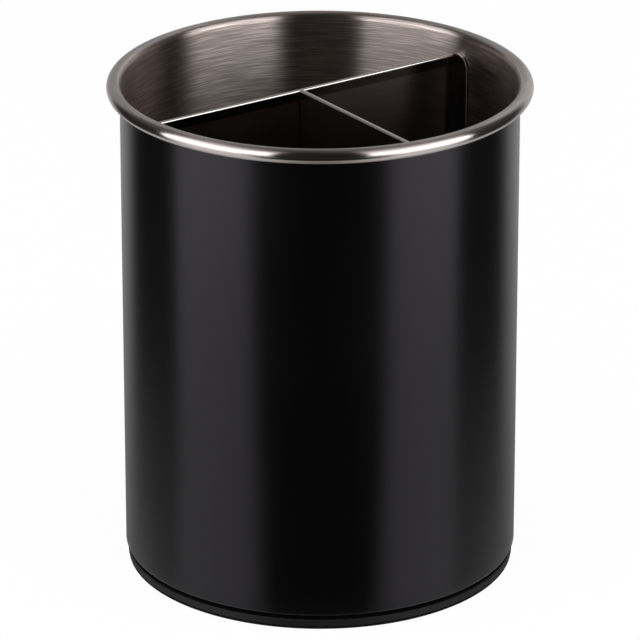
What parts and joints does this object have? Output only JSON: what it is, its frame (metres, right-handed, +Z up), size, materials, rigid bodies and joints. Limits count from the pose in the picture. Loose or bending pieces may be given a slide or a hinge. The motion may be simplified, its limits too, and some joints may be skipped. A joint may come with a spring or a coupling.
{
  "type": "rotating cutlery holder",
  "caption": "Rotating cutlery holder: a black-coated steel can with a rolled bright rim and a lift-out sheet divider, turning on a low ball-bearing base with a soft foot ring.",
  "frame": {"origin": "on the table, under the can's axis, at the underside of the foot ring", "axes": "+Z up along the can's axis; +X along the long divider plate; -Y along the cross plate, towards the front wall"},
  "size_m": [0.1492, 0.1492, 0.18],
  "materials": {
    "coated_steel": "satin black coat outside, bare brushed steel inside and on the rolled rim",
    "stainless": "brushed",
    "divider_steel": "smooth, lightly brushed",
    "ballast_steel": "phosphated",
    "zinc_steel": "bright zinc plated",
    "bearing_steel": "polished",
    "black_plastic": "fine matte grain",
    "acetal": "smooth satin",
    "foot_rubber": "soft matte"
  },
  "bodies": {
    "base": {"base_plate": "black_plastic", "foot_ring": "foot_rubber", "lower_race": "zinc_steel", "lower_race_screws": "zinc_steel", "pivot_bolt": "zinc_steel", "pivot_washer": "zinc_steel", "pivot_nut": "zinc_steel"},
    "can": {"can_wall": "coated_steel", "can_floor": "stainless", "weld_nuts": "zinc_steel", "ballast_disc": "ballast_steel", "carrier_plate": "black_plastic", "carrier_screws": "zinc_steel", "upper_race": "zinc_steel", "upper_race_screws": "zinc_steel", "pivot_bush": "acetal"},
    "cage": {"ball_cage": "acetal", "bearing_balls": "bearing_steel"},
    "divider": {"divider_long_plate": "divider_steel", "divider_cross_plate": "divider_steel"}
  },
  "joints": [
    {"name": "can_spin", "type": "hinge", "parent": "base", "child": "can", "pos_m": [0, 0, 0.0063], "axis": [0, 0, 1], "continuous": true},
    {"name": "cage_spin", "type": "hinge", "parent": "base", "child": "cage", "pos_m": [0, 0, 0.0063], "axis": [0, 0, 1], "continuous": true},
    {"name": "divider_lift", "type": "slide", "parent": "can", "child": "divider", "axis": [0, 0, 1], "range_m": [0, 0.17]}
  ],
  "couplings": [
    {"joint": "cage_spin", "follows": "can_spin", "ratio": 0.5}
  ]
}
